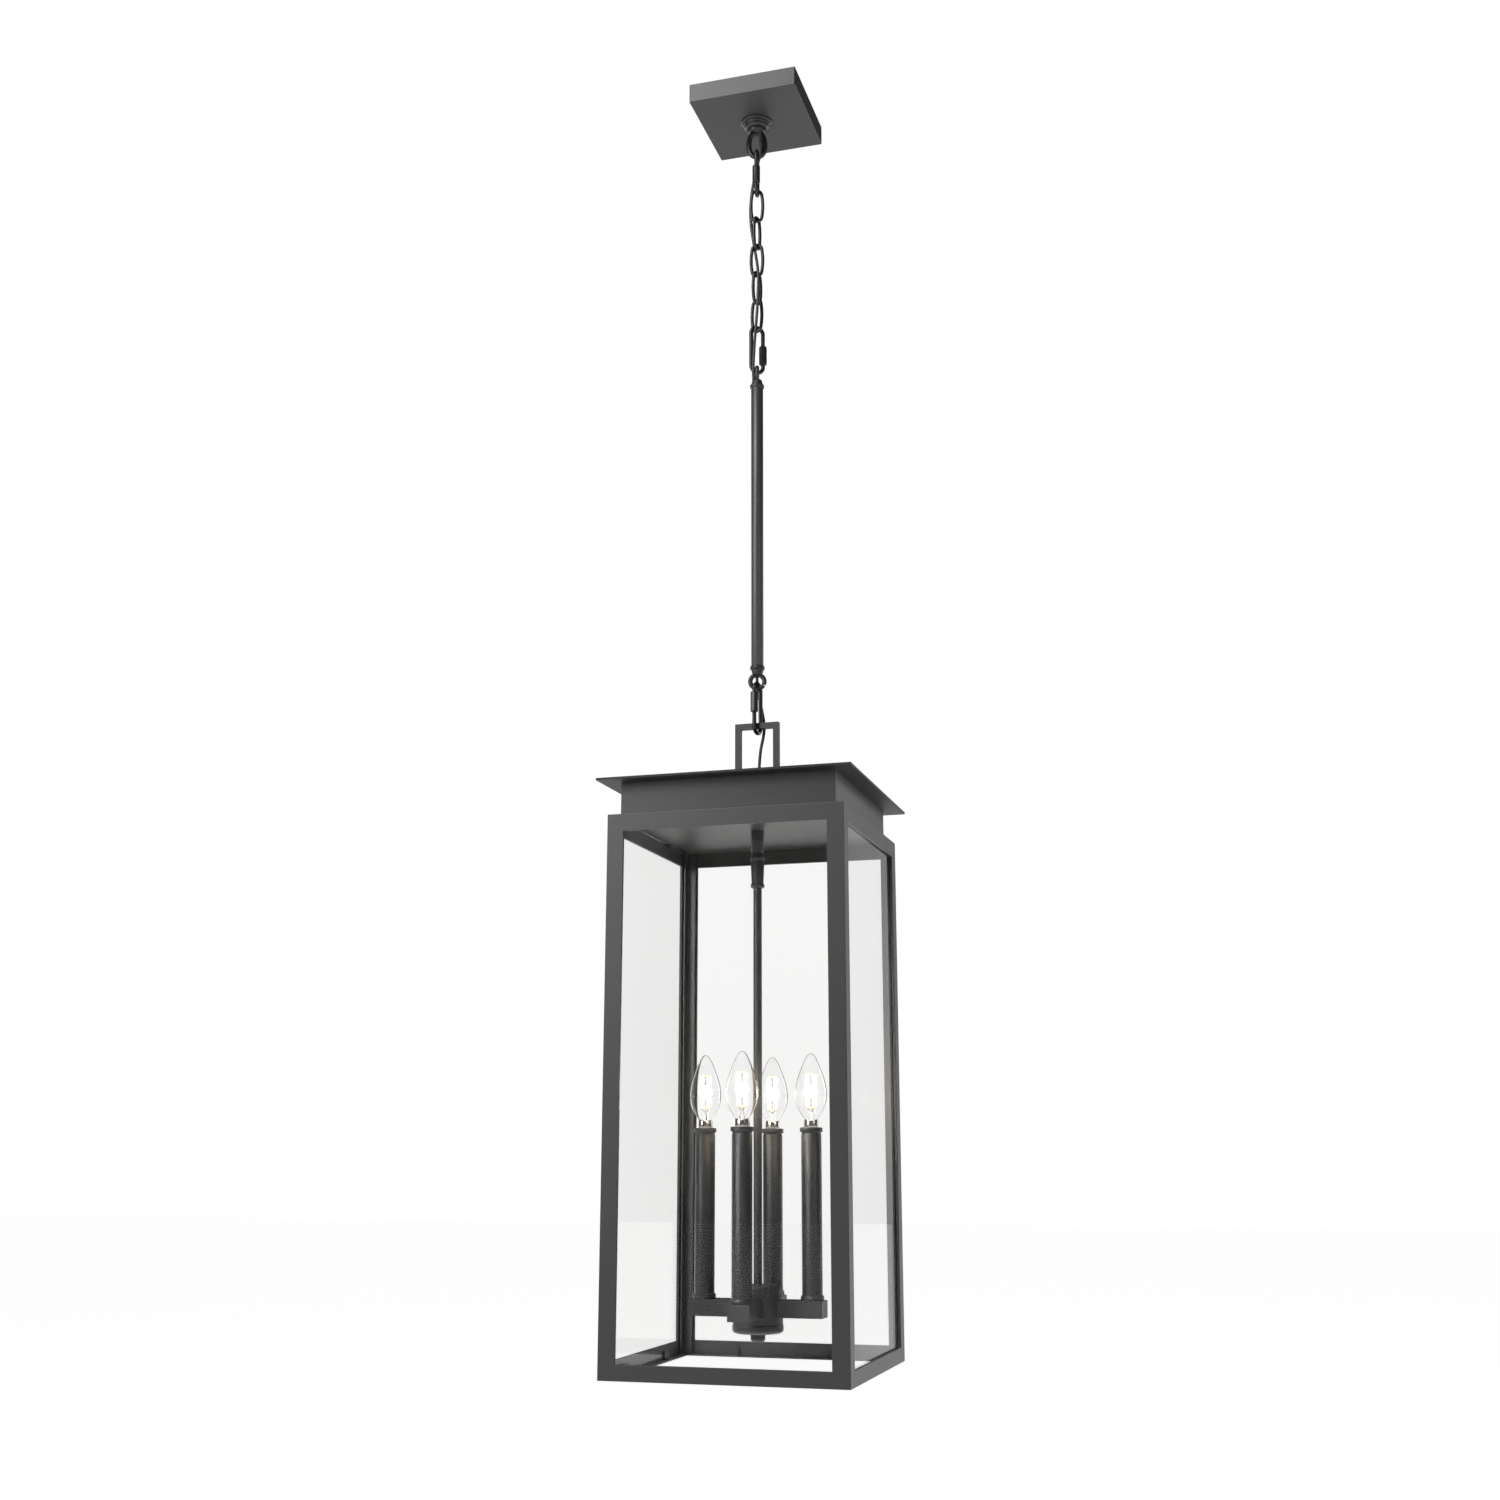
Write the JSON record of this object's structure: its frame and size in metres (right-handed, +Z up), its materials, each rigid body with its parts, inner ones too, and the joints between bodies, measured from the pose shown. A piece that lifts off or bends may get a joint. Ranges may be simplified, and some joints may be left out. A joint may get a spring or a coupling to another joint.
{
  "type": "hanging lantern",
  "caption": "Square glass hanging lantern on a rod and chain, with a canopy, a bail, a flat overhanging roof and a cluster of candle lamps inside an open-bottomed cage.",
  "frame": {"origin": "centre of the crossbar's screw pattern, on the ceiling plane", "axes": "+Z up out of the ceiling; +X along the crossbar and the lantern's front face; -Y towards the front"},
  "size_m": [0.288, 0.288, 1.532],
  "materials": {
    "black_coat": "fine matte powder coat, near black",
    "chain_black": "matte black coating on steel wire",
    "sleeve_black": "matte black tube",
    "zinc_steel": "zinc plated",
    "ground_green": "green ground screw",
    "pane_glass": "clear flat glass",
    "bulb_glass": "clear lamp glass",
    "lamp_collar": "bright plated collar and screw shell",
    "filament": "unlit filament strips on a glass mount",
    "socket_body": "moulded lamp socket",
    "lead_jacket": "smooth black cord"
  },
  "bodies": {
    "ceiling_mount": {"canopy_shell": "black_coat", "crossbar": "zinc_steel", "ground_screw": "ground_green", "nipple": "zinc_steel", "nipple_nuts": "zinc_steel", "screw_collar": "black_coat", "collar_loop": "black_coat", "lead_upper": "lead_jacket"},
    "quick_link_top": {"quick_link_top": "chain_black"},
    "quick_nut_top": {"quick_nut_top": "chain_black"},
    "quick_link_mid": {"quick_link_mid": "chain_black"},
    "quick_nut_mid": {"quick_nut_mid": "chain_black"},
    "quick_link_low": {"quick_link_low": "chain_black"},
    "quick_nut_low": {"quick_nut_low": "chain_black"},
    "chain_link_a": {"chain_link_a": "chain_black"},
    "chain_link_b": {"chain_link_b": "chain_black"},
    "chain_link_c": {"chain_link_c": "chain_black"},
    "chain_link_d": {"chain_link_d": "chain_black"},
    "chain_link_e": {"chain_link_e": "chain_black"},
    "rod": {"rod_top_ring": "black_coat", "rod_tube": "black_coat", "rod_low_ring": "black_coat", "lead_lower": "lead_jacket"},
    "lantern": {"bail": "black_coat", "roof_plate": "black_coat", "neck_box": "black_coat", "ceiling_plate": "black_coat", "cage_posts": "black_coat", "top_rails": "black_coat", "low_rails": "black_coat", "glass_front": "pane_glass", "glass_back": "pane_glass", "glass_left": "pane_glass", "glass_right": "pane_glass", "glass_clips": "black_coat", "tie_tube": "zinc_steel", "tie_nuts": "zinc_steel", "stem_nut": "black_coat", "stem_coupling": "black_coat", "stem_tube": "black_coat", "hub": "black_coat", "hub_nut": "zinc_steel", "hub_cap": "black_coat", "finial": "black_coat", "arms": "black_coat", "candle_cups": "black_coat", "candle_sleeves": "sleeve_black", "sockets": "socket_body"},
    "bulb_right": {"bulb_glass_right": "bulb_glass", "bulb_base_right": "lamp_collar", "bulb_core_right": "filament"},
    "bulb_back": {"bulb_glass_back": "bulb_glass", "bulb_base_back": "lamp_collar", "bulb_core_back": "filament"},
    "bulb_left": {"bulb_glass_left": "bulb_glass", "bulb_base_left": "lamp_collar", "bulb_core_left": "filament"},
    "bulb_front": {"bulb_glass_front": "bulb_glass", "bulb_base_front": "lamp_collar", "bulb_core_front": "filament"}
  },
  "joints": [
    {"name": "quick_link_top_swing", "type": "hinge", "parent": "ceiling_mount", "child": "quick_link_top", "pos_m": [0, 0, -0.07285], "axis": [-0.9848, -0.1736, 0], "range_deg": [-6, 6], "deforming": ["lead_upper"]},
    {"name": "chain_link_a_swing", "type": "hinge", "parent": "quick_link_top", "child": "chain_link_a", "pos_m": [0, 0, -0.1269], "axis": [-0.2756, 0.9613, 0], "range_deg": [-6, 6], "deforming": ["lead_upper"]},
    {"name": "chain_link_b_swing", "type": "hinge", "parent": "chain_link_a", "child": "chain_link_b", "pos_m": [0, 0, -0.16445], "axis": [-0.9703, 0.2419, 0], "range_deg": [-6, 6], "deforming": ["lead_upper"]},
    {"name": "chain_link_c_swing", "type": "hinge", "parent": "chain_link_b", "child": "chain_link_c", "pos_m": [0, 0, -0.202], "axis": [-0.0872, 0.9962, 0], "range_deg": [-6, 6], "deforming": ["lead_upper"]},
    {"name": "chain_link_d_swing", "type": "hinge", "parent": "chain_link_c", "child": "chain_link_d", "pos_m": [0, 0, -0.23955], "axis": [-0.9135, 0.4067, 0], "range_deg": [-6, 6], "deforming": ["lead_upper"]},
    {"name": "chain_link_e_swing", "type": "hinge", "parent": "chain_link_d", "child": "chain_link_e", "pos_m": [0, 0, -0.2771], "axis": [0.342, 0.9397, 0], "range_deg": [-6, 6], "deforming": ["lead_upper"]},
    {"name": "quick_link_mid_swing", "type": "hinge", "parent": "chain_link_e", "child": "quick_link_mid", "pos_m": [0, 0, -0.31485], "axis": [-0.6691, 0.7431, 0], "range_deg": [-6, 6], "deforming": ["lead_upper"]},
    {"name": "rod_swing", "type": "hinge", "parent": "quick_link_mid", "child": "rod", "pos_m": [0, 0, -0.3691], "axis": [-0.9613, -0.2756, 0], "range_deg": [-8, 8], "deforming": ["lead_upper"]},
    {"name": "quick_link_low_swing", "type": "hinge", "parent": "rod", "child": "quick_link_low", "pos_m": [0, 0, -0.76985], "axis": [-0.9816, 0.1908, 0], "range_deg": [-6, 6], "deforming": ["lead_lower"]},
    {"name": "lantern_swing", "type": "hinge", "parent": "quick_link_low", "child": "lantern", "pos_m": [0, 0, -0.82135], "axis": [0, 1, 0], "range_deg": [-8, 8], "deforming": ["lead_lower"]},
    {"name": "quick_nut_top_run", "type": "slide", "parent": "quick_link_top", "child": "quick_nut_top", "axis": [0, 0, 1], "range_m": [0, 0.012]},
    {"name": "quick_nut_mid_run", "type": "slide", "parent": "quick_link_mid", "child": "quick_nut_mid", "axis": [0, 0, 1], "range_m": [0, 0.012]},
    {"name": "quick_nut_low_run", "type": "slide", "parent": "quick_link_low", "child": "quick_nut_low", "axis": [0, 0, -1], "range_m": [0, 0.012]},
    {"name": "bulb_right_lift", "type": "slide", "parent": "lantern", "child": "bulb_right", "axis": [0, 0, 1], "range_m": [0, 0.03]},
    {"name": "bulb_back_lift", "type": "slide", "parent": "lantern", "child": "bulb_back", "axis": [0, 0, 1], "range_m": [0, 0.03]},
    {"name": "bulb_left_lift", "type": "slide", "parent": "lantern", "child": "bulb_left", "axis": [0, 0, 1], "range_m": [0, 0.03]},
    {"name": "bulb_front_lift", "type": "slide", "parent": "lantern", "child": "bulb_front", "axis": [0, 0, 1], "range_m": [0, 0.03]}
  ]
}
